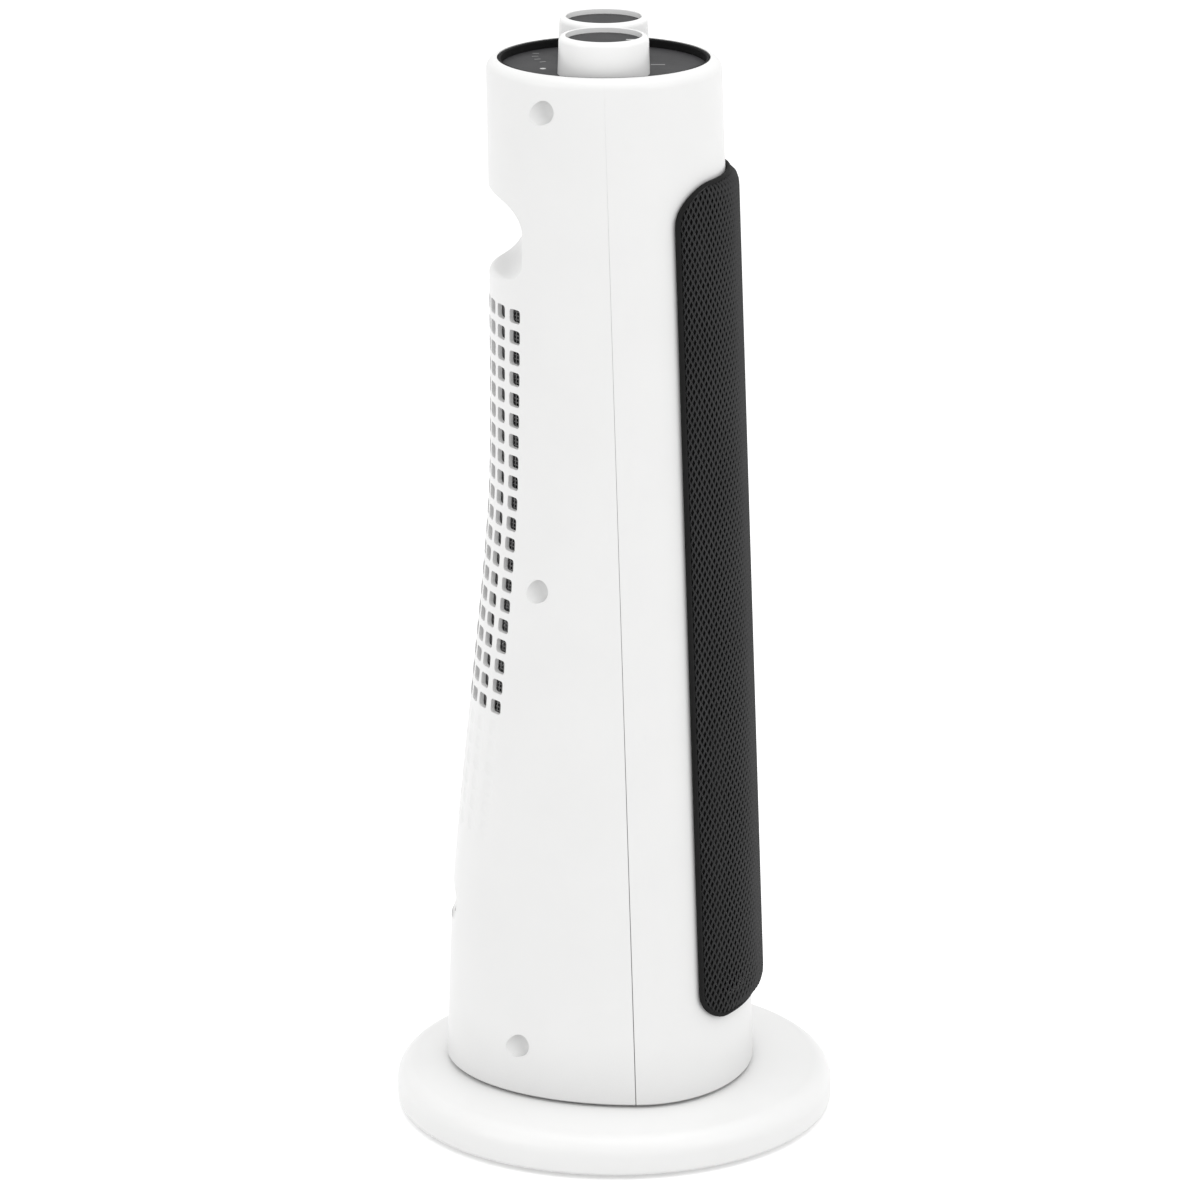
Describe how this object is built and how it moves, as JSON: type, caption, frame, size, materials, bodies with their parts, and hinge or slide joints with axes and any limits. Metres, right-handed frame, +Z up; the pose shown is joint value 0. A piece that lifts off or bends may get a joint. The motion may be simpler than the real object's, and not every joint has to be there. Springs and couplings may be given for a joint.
{
  "type": "portable ceramic tower heater",
  "caption": "Oscillating ceramic tower heater: tapered tower with a convex mesh grille, rear grip and air holes, twin top knobs, on a round weighted base.",
  "frame": {"origin": "middle of the base, on the floor", "axes": "+Z up along the tower, the grille faces -Y, the grip and air holes face +Y"},
  "size_m": [0.18, 0.18, 0.4515],
  "materials": {
    "white_plastic": "satin moulded ABS",
    "inner_plastic": "unpolished moulded plastic",
    "black_plastic": "moulded heat-resistant plastic",
    "charcoal_plastic": "fine textured",
    "natural_plastic": "natural acetal",
    "steel": "zinc-plated sheet and wire",
    "aluminium": "mill finish",
    "copper": "enamelled wire",
    "rubber": "moulded rubber"
  },
  "bodies": {
    "base": {"base_cover": "white_plastic", "base_plate": "inner_plastic", "base_weight": "steel", "foot_pad_1": "rubber", "foot_pad_2": "rubber", "foot_pad_3": "rubber", "foot_pad_4": "rubber", "glide_ring": "natural_plastic", "swing_yoke": "natural_plastic", "tip_switch": "black_plastic"},
    "plunger": {"tip_plunger": "inner_plastic"},
    "tower": {"front_shell": "white_plastic", "rear_shell": "white_plastic", "front_grille": "black_plastic", "shell_screw_1": "steel", "shell_screw_2": "steel", "shell_screw_3": "steel", "shell_screw_4": "steel", "shell_screw_5": "steel", "shell_screw_6": "steel", "cord_gland": "white_plastic", "tower_foot": "inner_plastic", "retaining_ring": "steel", "ring_screw_1": "steel", "ring_screw_2": "steel", "ring_screw_3": "steel", "swing_motor": "steel", "top_panel": "charcoal_plastic", "control_bracket": "steel", "mode_switch": "black_plastic", "thermostat": "black_plastic", "air_duct": "black_plastic", "bearing_plate": "black_plastic", "bearing_bush": "rubber", "heater_frame": "natural_plastic", "ptc_bar_1": "aluminium", "ptc_bar_2": "aluminium", "fin_pack_1": "aluminium", "fin_pack_2": "aluminium", "fin_pack_3": "aluminium", "thermal_cutout": "steel", "thermal_fuse": "natural_plastic", "fan_motor_core": "steel", "fan_motor_coil": "copper", "motor_bracket_upper": "steel", "motor_bracket_lower": "steel", "motor_screw_1": "steel", "motor_screw_2": "steel"},
    "crank": {"swing_crank": "natural_plastic", "swing_motor_shaft": "steel"},
    "mode_dial": {"mode_knob": "white_plastic", "mode_knob_cap": "charcoal_plastic", "mode_switch_shaft": "natural_plastic"},
    "thermostat_dial": {"thermostat_knob": "white_plastic", "thermostat_knob_cap": "charcoal_plastic", "thermostat_shaft": "steel"},
    "fan": {"impeller": "black_plastic", "fan_motor_rotor": "steel", "fan_motor_shaft": "steel"}
  },
  "joints": [
    {"name": "tower_swing", "type": "hinge", "parent": "base", "child": "tower", "pos_m": [0, 0, 0], "axis": [0, 0, 1], "range_deg": [-35, 35]},
    {"name": "crank_turn", "type": "hinge", "parent": "tower", "child": "crank", "pos_m": [0, 0.019, 0], "axis": [0, 0, 1], "range_deg": [-105, 105]},
    {"name": "fan_spin", "type": "hinge", "parent": "tower", "child": "fan", "pos_m": [0, 0.0175, 0], "axis": [0, 0, 1], "continuous": true},
    {"name": "mode_turn", "type": "hinge", "parent": "tower", "child": "mode_dial", "pos_m": [-0.0192, 0.0045, 0], "axis": [0, 0, -1], "range_deg": [0, 180]},
    {"name": "thermostat_turn", "type": "hinge", "parent": "tower", "child": "thermostat_dial", "pos_m": [0.0192, 0.0045, 0], "axis": [0, 0, -1], "range_deg": [0, 270]},
    {"name": "tip_plunger_slide", "type": "slide", "parent": "base", "child": "plunger", "axis": [0, 0, 1], "range_m": [-0.003, 0], "stiffness_N_per_m": 150, "springref_m": -0.003}
  ],
  "couplings": [
    {"joint": "crank_turn", "follows": "tower_swing", "ratio": -3}
  ]
}
